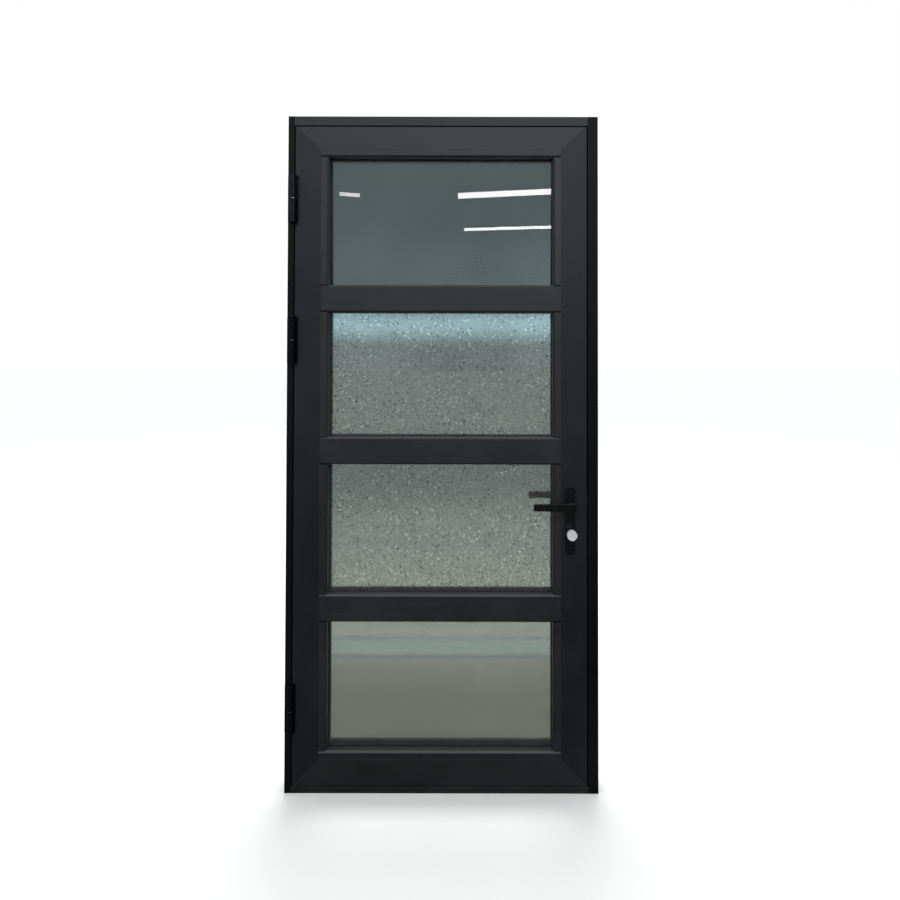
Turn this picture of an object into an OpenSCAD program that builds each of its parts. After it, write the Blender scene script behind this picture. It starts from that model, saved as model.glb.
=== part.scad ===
// Single glazed door leaf hung in its own aluminium frame, opening outwards.
// The front faces -Y, the hinges are on the -X side, and Z is up.
// The origin lies under the middle of the sill. All lengths are in millimetres.

/* [Frame] */
// Width over the frame
frame_w = 1016; // [840:1:1300]
// Height over the frame
frame_h = 2200; // [1830:1:2700]
// Depth of frame and leaf, front face to back face
frame_d = 65; // [62:1:90]
// Visible width of the jamb on the hinge side
hinge_face = 20; // [18:1:40]
// Visible width of the jamb on the lock side
lock_face = 33; // [26:1:60]
// Visible height of the head
head_face = 30; // [18:1:60]
// Visible height of the sill
sill_face = 20; // [18:1:60]
// Open joint between frame and leaf, all round
gap = 4; // [3.5:0.5:6]
// How far the stop reaches in behind the leaf
stop_w = 20; // [18:1:30]
// Depth of the stop, front to back
stop_d = 14.5; // [12:0.5:20]

/* [Leaf] */
// Face width of the stiles and the bottom rail
stile_face = 84; // [80:1:120]
// Face height of the top rail
top_face = 76; // [60:1:120]
// Face height of the three mid rails
mid_face = 38; // [30:1:60]
// Centre of the lowest mid rail above the leaf's lower edge
mid_low = 569; // [450:1:700]
// Centre of the middle mid rail above the leaf's lower edge
mid_centre = 1080; // [950:1:1200]
// Centre of the highest mid rail above the leaf's lower edge
mid_high = 1577; // [1450:1:1600]
// Rubber thickness between the stop and the leaf
seal_d = 4; // [3:0.5:6]

/* [Profiles] */
// Wall of the hollow profiles
wall = 2; // [1.5:0.1:3]
// Wall that carries the lock and strike plates
edge_wall = 5; // [4.5:0.1:7]
// Wall beside the glass, thick enough for the bead groove
glaze_wall = 4.5; // [4:0.1:6]

/* [Glazing] */
// Width of a glazing bead, as seen from the front
bead_w = 26; // [20:1:35]
// Depth of a glazing bead
bead_d = 20; // [16:1:24]
// Wall of a glazing bead
bead_wall = 1.6; // [1.2:0.1:2]
// Width of the slope along a bead's inner edge
slope_w = 6; // [2:0.5:8]
// Depth of the slope along a bead's inner edge
slope_d = 5; // [2:0.5:8]
// Thickness of one glass pane
glass_t = 5; // [4:0.5:6]
// Width of the sealed space between two panes
cavity = 18; // [10:1:20]
// Rubber between glass and bead, and between glass and profile
gasket_t = 4; // [3:0.5:5]
// Free space round the edge of the glass
glass_edge = 6; // [4:0.5:8]

/* [Hinges] */
// Height of one hinge
hinge_h = 155; // [120:1:200]
// Outer diameter of the hinge barrel
barrel_dia = 17; // [15:0.5:22]
// Diameter of the hinge pin
pin_dia = 8; // [6:0.5:10]
// Air between the hinge barrel and the wings behind it
barrel_air = 1; // [0.5:0.5:4]
// Distance of the hinge axis from the leaf's edge
axis_side = 3; // [2:0.5:4]
// Thickness of the hinge wings
wing_t = 3; // [2:0.5:3.5]
// Radial clearance of the pin in the leaf's knuckle
pin_fit = 0.06; // [0.02:0.01:0.1]
// Top hinge's centre below the top of the frame
hinge_top = 274; // [200:1:400]
// Middle hinge's centre below the top of the frame
hinge_mid = 736; // [600:1:900]
// Bottom hinge's centre above the underside of the frame
hinge_low = 272; // [200:1:400]

/* [Handle] */
// Height of the spindle above the underside of the frame
spindle_z = 934; // [850:1:1100]
// Distance from spindle down to lock cylinder
cylinder_drop = 92; // [85:1:92]
// Distance of spindle and cylinder from the leaf's edge
backset = 54; // [45:1:56]
// Height of the handle plate
plate_h = 222; // [214:1:260]
// Width of the handle plate
plate_w = 30; // [28:1:36]
// Thickness of the handle plate
plate_t = 8; // [6:0.5:12]
// Centre of the handle plate below the spindle
plate_drop = 54; // [50:1:56]
// Reach of the lever from the spindle to its tip
lever_reach = 124; // [100:1:140]
// Height of the lever at the spindle
lever_h = 24; // [20:0.5:28]
// Height of the lever at its tip
tip_h = 20; // [16:0.5:24]
// Thickness of the lever, front to back
lever_t = 12; // [8:0.5:16]
// How far the lever stands out from the leaf's face
lever_out = 50; // [45:1:65]
// Diameter of the thumb turn
knob_dia = 32; // [28:1:34]
// How far the thumb turn stands out from the leaf's face
knob_out = 38; // [30:1:44]
// Length of the thumb turn's round head
knob_l = 18; // [10:1:20]

/* [Lock] */
// Throw of the sprung latch beyond the leaf's edge
latch_throw = 12; // [10:0.5:14]
// Throw of the deadbolt beyond the leaf's edge
bolt_throw = 20; // [14:0.5:20]
// Depth of the lock case behind the spindle
case_past = 16; // [14.5:0.5:18]
// Thickness of the lock case
case_t = 16; // [15:0.5:18]

/* [Hidden] */
$fn = 48;

// A hair over, so that a cut runs clean through a face
eps = 1;
// Clearance of a part that slides or slips into another
fit = 0.2;
// Clearance of a shank in its hole
shank_fit = 0.05;

// Frame planes
y_front = -frame_d / 2;
y_back = frame_d / 2;
frame_x0 = -frame_w / 2;
frame_x1 = frame_w / 2;
jamb_in0 = frame_x0 + hinge_face;
jamb_in1 = frame_x1 - lock_face;
head_z = frame_h - head_face;
stop_y = y_back - stop_d;
stop_groove_w = 3;
stop_groove_d = 3;
stop_front_wall = 5;
seal_u = 10;
seal_half = 4;

// Leaf planes
leaf_x0 = jamb_in0 + gap;
leaf_x1 = jamb_in1 - gap;
leaf_z0 = sill_face + gap;
leaf_z1 = head_z - gap;
leaf_w = leaf_x1 - leaf_x0;
leaf_h = leaf_z1 - leaf_z0;
step_w = stop_w;
step_y = stop_y - seal_d;
open_x0 = leaf_x0 + stile_face;
open_x1 = leaf_x1 - stile_face;
open_w = open_x1 - open_x0;
bead_top_w = bead_w * top_face / stile_face;
mitre_side = stile_face + bead_w;
mitre_top = top_face + bead_top_w;

// Glazing planes, front to back
bead_back = y_front + bead_d;
glass_y0 = bead_back + gasket_t;
glass_y1 = glass_y0 + glass_t;
glass_y2 = glass_y1 + cavity;
glass_y3 = glass_y2 + glass_t;
fin_y = glass_y3 + gasket_t;
fin_d = y_back - fin_y;
fin_wall = min(wall, fin_d / 3);
groove_w = 3;
groove_d = 2.5;
groove_y = bead_back - bead_wall - groove_w;
spacer_w = 12;

// The four panes from the top down: lower and upper profile faces, and the upper bead's width
mid_z = [leaf_z0 + mid_high, leaf_z0 + mid_centre, leaf_z0 + mid_low];
pane_z0 = [for (i = [0:3]) i < 3 ? mid_z[i] + mid_face / 2 : leaf_z0 + stile_face];
pane_z1 = [for (i = [0:3]) i > 0 ? mid_z[i - 1] - mid_face / 2 : leaf_z1 - top_face];
pane_top_w = [bead_top_w, bead_w, bead_w, bead_w];

// Hinges
hinge_z = [frame_h - hinge_top, frame_h - hinge_mid, hinge_low];
axis_x = leaf_x0 - axis_side;
barrel_r = barrel_dia / 2;
axis_y = y_front - wing_t - barrel_air - barrel_r;
pin_r = pin_dia / 2;
knuckle_gap = 1.5;
knuckle_h = (hinge_h - knuckle_gap) / 2;
washer_t = knuckle_gap - fit;
cap_t = 3;
wing_edge = 0.5;
leaf_wing_x0 = leaf_x0 + 1;
leaf_wing_w = 10;
wing_corner = 4;
hinge_screw_z = 40;
hinge_screw_r = 2;
hinge_screw_head = 2.8;
hinge_screw_l = 9;

// Lock line: the plane of latch, bolt and strike
lock_y = (y_front + step_y) / 2;
lock_x = leaf_x1 - backset;
cylinder_z = spindle_z - cylinder_drop;
bolt_z = cylinder_z + 43;
faceplate_t = 3;
faceplate_w = 20;
faceplate_z0 = cylinder_z - 74;
faceplate_h = 235;
case_z0 = cylinder_z - 34;
case_z1 = spindle_z + 28;
case_wall = 1.5;
case_x1 = leaf_x1 - faceplate_t;
case_x0 = lock_x - case_past;
latch_w = 12;
latch_h = 30;
latch_back = latch_throw + 0.5;
bolt_w = 13;
bolt_h = 34;
bolt_tail = bolt_throw + 24;
follower_r = 12;
latch_tail = backset - faceplate_t - follower_r - latch_back - 0.5;
follower_neck = 8;
square_side = 8;
lock_screw_r = 2.5;
face_screw_r = 2;
face_screw_head = 4;
face_screw_in = 10;
cylinder_screw_drop = 20;

// Strike plate
strike_t = 3;
strike_over = 45;
strike_z0 = bolt_z - strike_over;
strike_h = spindle_z - bolt_z + 2 * strike_over;
strike_play = 1.5;

// Cylinder, a 17 mm round with a flat web below
cyl_r = 8.5;
cyl_web = 10;
cyl_below = 24.5;
cyl_proud = 2;
plug_r = 6.5;
cam_r = 12.5;
cam_half = 5;
cam_slot = 14;
cyl_y0 = y_front - plate_t - cyl_proud;
cyl_y1 = y_back + plate_t + cyl_proud;

// Handle set
hub_r = 9;
hub_fit = 0.3;
plate_screw_in = 21;
plate_z = spindle_z - plate_drop;
plate_screw_z = [plate_z - plate_h / 2 + plate_screw_in, plate_z + plate_h / 2 - plate_screw_in];
post_r = 4;
post_fit = 0.3;
plate_screw_r = 2.45;
plate_screw_head = 4.4;
plate_screw_cone = 2.6;
spindle_l = 2 * (frame_d / 2 + lever_out - 8);
lever_round = 3;

// Corner blocks and frame fixings
block_l = 50;
corner_screw_y = 15;
corner_screw_r = 3;
corner_screw_head = 5;
corner_screw_head_t = 4;
fixing_y = 8;
fixing_r = 5.25;
fixing_end = 200;
fixing_pitch = (frame_h - 2 * fixing_end) / 3;
cleat_l = 150;
cleat_wall = 8;
mid_block_l = 34;
mid_screw_y = [-14, 12];
setting_l = 100;

anthracite = [0.17, 0.18, 0.19];
black = [0.06, 0.06, 0.06];
silver = [0.75, 0.76, 0.77];
steel = [0.6, 0.61, 0.62];

// Bars of a rectangle: the section's x runs inwards from the outer edge
module bar_left(x, z, l) {
    translate([x, 0, z]) linear_extrude(l) children();
}

module bar_right(x, z, l) {
    translate([x, 0, z]) mirror([1, 0, 0]) linear_extrude(l) children();
}

module bar_bottom(x, z, l) {
    translate([x + l, 0, z]) rotate([0, -90, 0]) linear_extrude(l) children();
}

module bar_top(x, z, l) {
    translate([x + l, 0, z]) mirror([0, 0, 1]) rotate([0, -90, 0]) linear_extrude(l) children();
}

// A box from corner to corner
module box(from, to) {
    translate(from) cube(to - from);
}

// An outline in X and Z, drawn out through the depth
module through_depth(y0, y1) {
    translate([0, y1, 0]) rotate([90, 0, 0]) linear_extrude(y1 - y0) children();
}

// A round rod along +Y
module rod_y(x, z, y0, y1, r) {
    translate([x, y0, z]) rotate([-90, 0, 0]) cylinder(r = r, h = y1 - y0);
}

// A round rod along +X
module rod_x(x0, x1, y, z, r) {
    translate([x0, y, z]) rotate([0, 90, 0]) cylinder(r = r, h = x1 - x0);
}

module frame_section(face) {
    difference() {
        union() {
            translate([0, y_front]) square([face, frame_d]);
            translate([0, stop_y]) square([face + stop_w, stop_d]);
        }
        translate([wall, y_front + wall]) square([face - wall - edge_wall, frame_d - 2 * wall]);
        translate([face, stop_y + stop_front_wall])
            square([stop_w - wall, stop_d - stop_front_wall - wall]);
        translate([face + seal_u - stop_groove_w / 2, stop_y - eps])
            square([stop_groove_w, stop_groove_d + eps]);
    }
}

module leaf_section(face, bead) {
    difference() {
        union() {
            translate([0, y_front]) square([face, step_y - y_front]);
            translate([step_w, y_front]) square([face - step_w, frame_d]);
            translate([face - eps, fin_y]) square([bead + eps, fin_d]);
        }
        translate([edge_wall, y_front + wall])
            square([face - edge_wall - glaze_wall, step_y - y_front - 2 * wall]);
        translate([step_w + wall, y_front + wall])
            square([face - step_w - wall - glaze_wall, frame_d - 2 * wall]);
        translate([face, fin_y + fin_wall]) square([bead - fin_wall, fin_d - 2 * fin_wall]);
        translate([face - groove_d, groove_y]) square([groove_d + eps, groove_w]);
    }
}

module mid_section() {
    half = mid_face / 2;
    difference() {
        union() {
            translate([-half, y_front]) square([mid_face, frame_d]);
            translate([-half - bead_w, fin_y]) square([mid_face + 2 * bead_w, fin_d]);
        }
        translate([-half + glaze_wall, y_front + wall])
            square([mid_face - 2 * glaze_wall, frame_d - 2 * wall]);
        for (side = [-1, 1]) {
            translate([side * (half + (bead_w - fin_wall) / 2), fin_y + fin_d / 2])
                square([bead_w - fin_wall, fin_d - 2 * fin_wall], center = true);
            translate([side * half, groove_y + groove_w / 2])
                square([2 * groove_d, groove_w], center = true);
        }
    }
}

module bead_section(bead) {
    t = bead_wall;
    difference() {
        union() {
            polygon([
                [0, y_front], [bead - slope_w, y_front], [bead, y_front + slope_d],
                [bead, bead_back], [0, bead_back]
            ]);
            translate([fit - groove_d, groove_y + fit]) square([groove_d, groove_w - 2 * fit]);
        }
        polygon([
            [t, y_front + t], [bead - slope_w - t / 3, y_front + t],
            [bead - t, y_front + slope_d + t / 3], [bead - t, bead_back - t], [t, bead_back - t]
        ]);
    }
}

module seal_lip_section(face) {
    u = face + seal_u;
    polygon([
        [u - seal_half, stop_y], [u - seal_half, stop_y - 1.2], [u - 2, step_y + fit],
        [u + 2, step_y + fit], [u + seal_half, stop_y - 1.2], [u + seal_half, stop_y]
    ]);
}

module seal_foot_section(face) {
    translate([face + seal_u - stop_groove_w / 2 + 0.1, stop_y])
        square([stop_groove_w - 0.2, stop_groove_d - 0.2]);
}

module frame_jamb(face) {
    difference() {
        bar_left(0, 0, frame_h) frame_section(face);
        box([face, stop_y - eps, head_z], [face + stop_w + eps, y_back + eps, frame_h + eps]);
        box([face, stop_y - eps, -eps], [face + stop_w + eps, y_back + eps, sill_face]);
        for (i = [0:3]) {
            rod_x(-eps, face + eps, fixing_y, fixing_end + i * fixing_pitch, fixing_r);
        }
        for (y = [-1, 1], z = [sill_face / 2 - 1.5, head_z + head_face / 2 + 1.5]) {
            rod_x(-eps, wall + eps, y * corner_screw_y, z, corner_screw_head + 0.5);
            rod_x(0, face + eps, y * corner_screw_y, z, corner_screw_r + shank_fit);
        }
    }
}

module frame_jamb_hinge() {
    color(anthracite) difference() {
        translate([frame_x0, 0, 0]) frame_jamb(hinge_face);
        hinge_screw_holes(frame_screw_x());
    }
}

module frame_jamb_lock() {
    color(anthracite) difference() {
        translate([frame_x1, 0, 0]) mirror([1, 0, 0]) frame_jamb(lock_face);
        box(
            [jamb_in1 - eps, lock_y - faceplate_w / 2 - fit, strike_z0 - fit],
            [jamb_in1 + strike_t, lock_y + faceplate_w / 2 + fit, strike_z0 + strike_h + fit]
        );
        strike_windows(strike_play + 0.5);
        strike_screw_holes(face_screw_r + shank_fit);
    }
}

// Windows for latch and deadbolt, with play all round
module strike_windows(play) {
    x0 = jamb_in1 - eps;
    x1 = jamb_in1 + edge_wall + eps;
    slot(x0, x1, spindle_z, latch_w / 2 + play, latch_h / 2 + play);
    slot(x0, x1, bolt_z, bolt_w / 2 + play, bolt_h / 2 + play);
}

module strike_screw_holes(r) {
    for (z = [strike_z0 + face_screw_in, strike_z0 + strike_h - face_screw_in]) {
        rod_x(jamb_in1 - eps, jamb_in1 + edge_wall + eps, lock_y, z, r);
    }
}

module frame_cross(face) {
    l = jamb_in1 - jamb_in0;
    difference() {
        bar_bottom(jamb_in0, 0, l) frame_section(face);
        for (x = [jamb_in0 - eps, jamb_in1 - stop_w]) {
            box([x, stop_y - eps, face], [x + stop_w + eps, y_back + eps, face + stop_w + eps]);
        }
    }
}

module frame_head() {
    color(anthracite) translate([0, 0, frame_h]) mirror([0, 0, 1]) frame_cross(head_face);
}

module frame_sill() {
    color(anthracite) frame_cross(sill_face);
}

// One block fills the chamber of head or sill where it meets a jamb
module corner_block(face) {
    room = face - wall - edge_wall - 2 * fit;
    difference() {
        box([0, y_front + wall + fit, wall + fit], [block_l, y_back - wall - fit, wall + fit + room]);
        for (y = [-1, 1]) {
            rod_x(-eps, block_l - 10, y * corner_screw_y, face / 2 - 1.5, corner_screw_r + shank_fit);
        }
    }
}

module frame_corner_blocks() {
    color(steel) for (side = [0, 1]) {
        x = side == 0 ? jamb_in0 : jamb_in1;
        translate([x, 0, 0]) mirror([side, 0, 0]) corner_block(sill_face);
        translate([x, 0, frame_h]) mirror([side, 0, 0]) mirror([0, 0, 1]) corner_block(head_face);
    }
}

module corner_screw() {
    head_x = edge_wall + corner_screw_head_t;
    translate([-head_x, 0, 0]) rotate([0, 90, 0])
        cylinder(r = corner_screw_head, h = corner_screw_head_t);
    translate([-edge_wall, 0, 0]) rotate([0, 90, 0])
        cylinder(r = corner_screw_r, h = edge_wall + block_l - 15);
}

module frame_corner_screws() {
    color(silver) for (side = [0, 1], y = [-1, 1]) {
        x = side == 0 ? jamb_in0 : jamb_in1;
        for (z = [sill_face / 2 - 1.5, head_z + head_face / 2 + 1.5]) {
            translate([x, y * corner_screw_y, z]) mirror([side, 0, 0]) corner_screw();
        }
    }
}

module frame_seal() {
    seal_h = head_z - sill_face;
    inner = seal_u + seal_half;
    seal_w = jamb_in1 - jamb_in0 - 2 * inner;
    foot_w = jamb_in1 - jamb_in0 - 2 * stop_w;
    color(black) {
        bar_left(frame_x0, sill_face, seal_h) union() {
            seal_lip_section(hinge_face);
            seal_foot_section(hinge_face);
        }
        bar_right(frame_x1, sill_face, seal_h) union() {
            seal_lip_section(lock_face);
            seal_foot_section(lock_face);
        }
        bar_bottom(jamb_in0 + inner, 0, seal_w) seal_lip_section(sill_face);
        bar_bottom(jamb_in0 + stop_w, 0, foot_w) seal_foot_section(sill_face);
        bar_top(jamb_in0 + inner, frame_h, seal_w) seal_lip_section(head_face);
        bar_top(jamb_in0 + stop_w, frame_h, foot_w) seal_foot_section(head_face);
    }
}

module strike_plate() {
    color(silver) difference() {
        box(
            [jamb_in1, lock_y - faceplate_w / 2, strike_z0],
            [jamb_in1 + strike_t, lock_y + faceplate_w / 2, strike_z0 + strike_h]
        );
        strike_windows(strike_play);
        strike_screw_holes(face_screw_r + shank_fit);
        for (z = [strike_z0 + face_screw_in, strike_z0 + strike_h - face_screw_in]) {
            translate([jamb_in1, lock_y, z]) rotate([0, 90, 0]) countersink();
        }
    }
}

// Countersink for a plate screw, its wide end at z = 0
module countersink() {
    play = 0.1;
    cone = face_screw_head - face_screw_r;
    translate([0, 0, -0.01])
        cylinder(r1 = face_screw_head + play, r2 = face_screw_r + play, h = cone);
}

// A countersunk plate screw along +Z, its head flush with z = 0
module flush_screw(l) {
    cone = face_screw_head - face_screw_r;
    cylinder(r1 = face_screw_head, r2 = face_screw_r, h = cone);
    translate([0, 0, cone - 0.01]) cylinder(r = face_screw_r, h = l - cone);
}

module strike_screws() {
    color(silver) for (z = [strike_z0 + face_screw_in, strike_z0 + strike_h - face_screw_in]) {
        translate([jamb_in1 + 0.02, lock_y, z]) rotate([0, 90, 0]) flush_screw(14);
    }
}

function frame_screw_x() = frame_x0 + 6.5;

function leaf_screw_x() = leaf_wing_x0 + leaf_wing_w - 4;

module hinge_screw_holes(x) {
    for (hz = hinge_z, dz = [-1, 1]) {
        rod_y(
            x, hz + dz * hinge_screw_z, y_front - wing_t - eps,
            y_front + hinge_screw_l, hinge_screw_r + shank_fit
        );
    }
}

// Outline of a wing, with its two outer corners cut off; side is -1 or 1, towards the outer edge
module wing_outline(x0, x1, side) {
    h = hinge_h / 2;
    outer = side > 0 ? x1 : x0;
    inner = side > 0 ? x0 : x1;
    polygon([
        [inner, -h], [outer - side * wing_corner, -h], [outer, wing_corner - h],
        [outer, h - wing_corner], [outer - side * wing_corner, h], [inner, h]
    ]);
}

// Wings of one hinge half, with the webs that join them to the knuckle
module hinge_wing(x0, x1, side, web_x0, web_x1, z, knuckle_z, bore) {
    difference() {
        union() {
            translate([0, 0, z]) through_depth(y_front - wing_t, y_front) wing_outline(x0, x1, side);
            box([web_x0, axis_y, knuckle_z], [web_x1, y_front - wing_t + 0.5, knuckle_z + knuckle_h]);
            box(
                [min(web_x0, x1 - 1), y_front - wing_t, knuckle_z],
                [max(web_x1, x0 + 1), y_front - wing_t + 0.5, knuckle_z + knuckle_h]
            );
            translate([axis_x, axis_y, knuckle_z]) cylinder(r = barrel_r, h = knuckle_h);
        }
        translate([axis_x, axis_y, knuckle_z - eps]) cylinder(r = bore, h = knuckle_h + 2 * eps);
    }
}

module hinge_frame_wings() {
    color(black) difference() {
        for (z = hinge_z) {
            hinge_wing(
                frame_x0 + wing_edge, jamb_in0 - wing_edge, -1, axis_x - barrel_r, axis_x - 0.5,
                z, z - hinge_h / 2, pin_r + 0.01
            );
        }
        hinge_screw_holes(frame_screw_x());
        hinge_screw_cones(frame_screw_x());
    }
}

module hinge_leaf_wings() {
    color(black) difference() {
        for (z = hinge_z) {
            hinge_wing(
                leaf_wing_x0, leaf_wing_x0 + leaf_wing_w, 1, axis_x + 0.5, axis_x + barrel_r,
                z, z + knuckle_gap / 2, pin_r + pin_fit
            );
        }
        hinge_screw_holes(leaf_screw_x());
        hinge_screw_cones(leaf_screw_x());
    }
}

module hinge_screw_cones(x) {
    for (hz = hinge_z, dz = [-1, 1]) {
        translate([x, y_front - wing_t - 0.01, hz + dz * hinge_screw_z]) rotate([-90, 0, 0])
            cylinder(r1 = hinge_screw_head + 0.05, r2 = hinge_screw_r + 0.05, h = 0.8);
    }
}

module hinge_screws(x) {
    for (hz = hinge_z, dz = [-1, 1]) {
        translate([x, y_front - wing_t + 0.02, hz + dz * hinge_screw_z]) rotate([-90, 0, 0]) {
            cylinder(r1 = hinge_screw_head, r2 = hinge_screw_r, h = 0.8);
            translate([0, 0, 0.79]) cylinder(r = hinge_screw_r, h = wing_t + hinge_screw_l - 1.5);
        }
    }
}

module hinge_frame_screws() {
    color(black) hinge_screws(frame_screw_x());
}

module hinge_leaf_screws() {
    color(black) hinge_screws(leaf_screw_x());
}

module hinge_pins() {
    color(silver) for (z = hinge_z) {
        translate([axis_x, axis_y, z - hinge_h / 2 + 0.5]) cylinder(r = pin_r, h = hinge_h - 1);
    }
}

module hinge_washers() {
    color(silver) for (z = hinge_z) {
        translate([axis_x, axis_y, z - knuckle_gap / 2]) difference() {
            cylinder(r = barrel_r - 0.3, h = washer_t);
            translate([0, 0, -eps]) cylinder(r = pin_r + 0.01, h = washer_t + 2 * eps);
        }
    }
}

module hinge_cap() {
    cylinder(r1 = barrel_r, r2 = barrel_r - 1.2, h = cap_t);
}

module hinge_bottom_caps() {
    color(black) for (z = hinge_z) {
        translate([axis_x, axis_y, z - hinge_h / 2]) mirror([0, 0, 1]) hinge_cap();
    }
}

module hinge_top_caps() {
    color(black) for (z = hinge_z) {
        translate([axis_x, axis_y, z + hinge_h / 2]) hinge_cap();
    }
}

// Mitred bars of the leaf, cut to their outlines in X and Z
module stile() {
    intersection() {
        bar_left(leaf_x0, leaf_z0, leaf_h) leaf_section(stile_face, bead_w);
        through_depth(y_front - eps, y_back + eps) polygon([
            [leaf_x0, leaf_z0], [leaf_x0 + mitre_side, leaf_z0 + mitre_side],
            [leaf_x0 + mitre_side, leaf_z1 - mitre_top], [leaf_x0, leaf_z1]
        ]);
    }
}

module stile_hinge() {
    color(anthracite) difference() {
        stile();
        hinge_screw_holes(leaf_screw_x());
        mid_screw_holes();
    }
}

module stile_lock() {
    color(anthracite) difference() {
        translate([leaf_x0 + leaf_x1, 0, 0]) mirror([1, 0, 0]) stile();
        box(
            [case_x1 - edge_wall, lock_y - case_t / 2 - fit, case_z0 - fit],
            [leaf_x1 + eps, lock_y + case_t / 2 + fit, case_z1 + fit]
        );
        box(
            [leaf_x1 - faceplate_t, lock_y - faceplate_w / 2 - fit, faceplate_z0 - fit],
            [leaf_x1 + eps, lock_y + faceplate_w / 2 + fit, faceplate_z0 + faceplate_h + fit]
        );
        rod_y(lock_x, spindle_z, y_front - eps, y_back + eps, hub_r + 1);
        cylinder_shape(y_front - eps, y_back + eps, 0.4);
        for (z = plate_screw_z) {
            rod_y(lock_x, z, y_front - eps, y_back + eps, post_r + post_fit);
        }
        faceplate_screw_holes();
        mid_screw_holes();
    }
}

module rail_top() {
    color(anthracite) intersection() {
        bar_top(leaf_x0, leaf_z1, leaf_w) leaf_section(top_face, bead_top_w);
        through_depth(y_front - eps, y_back + eps) polygon([
            [leaf_x0, leaf_z1], [leaf_x0 + mitre_side, leaf_z1 - mitre_top],
            [leaf_x1 - mitre_side, leaf_z1 - mitre_top], [leaf_x1, leaf_z1]
        ]);
    }
}

module rail_bottom() {
    color(anthracite) intersection() {
        bar_bottom(leaf_x0, leaf_z0, leaf_w) leaf_section(stile_face, bead_w);
        through_depth(y_front - eps, y_back + eps) polygon([
            [leaf_x0, leaf_z0], [leaf_x0 + mitre_side, leaf_z0 + mitre_side],
            [leaf_x1 - mitre_side, leaf_z0 + mitre_side], [leaf_x1, leaf_z0]
        ]);
    }
}

// A mid rail butts against the stiles and is milled to pass their fins
module mid_rail(i) {
    reach = mid_face / 2 + bead_w + eps;
    color(anthracite) difference() {
        bar_bottom(open_x0, mid_z[i], open_w) mid_section();
        for (x = [open_x0 - eps, open_x1 - bead_w]) {
            box([x, fin_y, mid_z[i] - reach], [x + bead_w + eps, y_back + eps, mid_z[i] + reach]);
        }
    }
}

// An angle block inside a mitred corner: legs wx and wz wide, open in the middle
module cleat(wx, wz) {
    a = edge_wall + fit;
    bx = min(wx - glaze_wall, (wz - glaze_wall) * wx / wz) - fit;
    bz = min(wz - glaze_wall, (wx - glaze_wall) * wz / wx) - fit;
    t = cleat_wall;
    through_depth(y_front + wall + fit, step_y - wall - fit) difference() {
        polygon([[a, a], [cleat_l, a], [cleat_l, bz], [bx, bz], [bx, cleat_l], [a, cleat_l]]);
        polygon([
            [a + t, a + t], [cleat_l - t, a + t], [cleat_l - t, bz - t],
            [bx - t, bz - t], [bx - t, cleat_l - t], [a + t, cleat_l - t]
        ]);
    }
}

module leaf_corner_cleats() {
    color(steel) for (side = [0, 1]) {
        x = side == 0 ? leaf_x0 : leaf_x1;
        translate([x, 0, leaf_z0]) mirror([side, 0, 0]) cleat(stile_face, stile_face);
        translate([x, 0, leaf_z1]) mirror([side, 0, 0]) mirror([0, 0, 1]) cleat(stile_face, top_face);
    }
}

// A block in each end of a mid rail, screwed to the stile
module mid_rail_blocks() {
    half = mid_face / 2 - glaze_wall - fit;
    color(steel) for (side = [0, 1], z = mid_z) {
        translate([side == 0 ? open_x0 : open_x1, 0, z]) mirror([side, 0, 0]) difference() {
            box([0, y_front + wall + fit, -half], [mid_block_l, fin_y - fit, half]);
            for (y = mid_screw_y) {
                rod_x(-eps, mid_block_l + eps, y, 0, corner_screw_r + shank_fit);
                rod_x(12, mid_block_l + eps, y, 0, corner_screw_head + shank_fit);
            }
        }
    }
}

module mid_screw_holes() {
    for (x = [open_x0 - glaze_wall - eps, open_x1 - eps], z = mid_z, y = mid_screw_y) {
        rod_x(x, x + glaze_wall + 2 * eps, y, z, corner_screw_r + shank_fit);
    }
}

module mid_rail_screws() {
    color(silver) for (side = [0, 1], z = mid_z, y = mid_screw_y) {
        translate([side == 0 ? open_x0 : open_x1, y, z]) mirror([side, 0, 0]) {
            rod_x(-glaze_wall - 4, 12.5, 0, 0, corner_screw_r);
            rod_x(12, 12 + corner_screw_head_t, 0, 0, corner_screw_head);
        }
    }
}

// Four beads round pane i: the level ones run full width, the upright ones fit between them
module beads(i) {
    end = fit / 2;
    side_z = pane_z0[i] + bead_w + end;
    side_h = pane_z1[i] - pane_top_w[i] - end - side_z;
    color(anthracite) {
        bar_bottom(open_x0 + end, pane_z0[i], open_w - 2 * end) bead_section(bead_w);
        bar_top(open_x0 + end, pane_z1[i], open_w - 2 * end) bead_section(pane_top_w[i]);
        bar_left(open_x0, side_z, side_h) bead_section(bead_w);
        bar_right(open_x1, side_z, side_h) bead_section(bead_w);
    }
}

// A flat box in the opening of pane i, set in from the profile faces all round
module pane_box(i, y0, y1, inset) {
    box([open_x0 + inset, y0, pane_z0[i] + inset], [open_x1 - inset, y1, pane_z1[i] - inset]);
}

module outer_pane(i) {
    color([0.45, 0.52, 0.52, 0.5]) pane_box(i, glass_y0, glass_y1, glass_edge);
}

module inner_pane(i) {
    color([0.45, 0.52, 0.52, 0.5]) pane_box(i, glass_y2, glass_y3, glass_edge);
}

module pane_spacers() {
    color(black) for (i = [0:3]) {
        difference() {
            pane_box(i, glass_y1, glass_y2, glass_edge);
            pane_box(i, glass_y1 - eps, glass_y2 + eps, glass_edge + spacer_w);
        }
    }
}

// A flat rubber ring that ends just behind the beads' inner edges
module gasket_ring(i, y0, y1) {
    in = bead_w - 1;
    difference() {
        pane_box(i, y0, y1, glass_edge + 2);
        box(
            [open_x0 + in, y0 - eps, pane_z0[i] + in],
            [open_x1 - in, y1 + eps, pane_z1[i] - pane_top_w[i] + 1]
        );
    }
}

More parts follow.
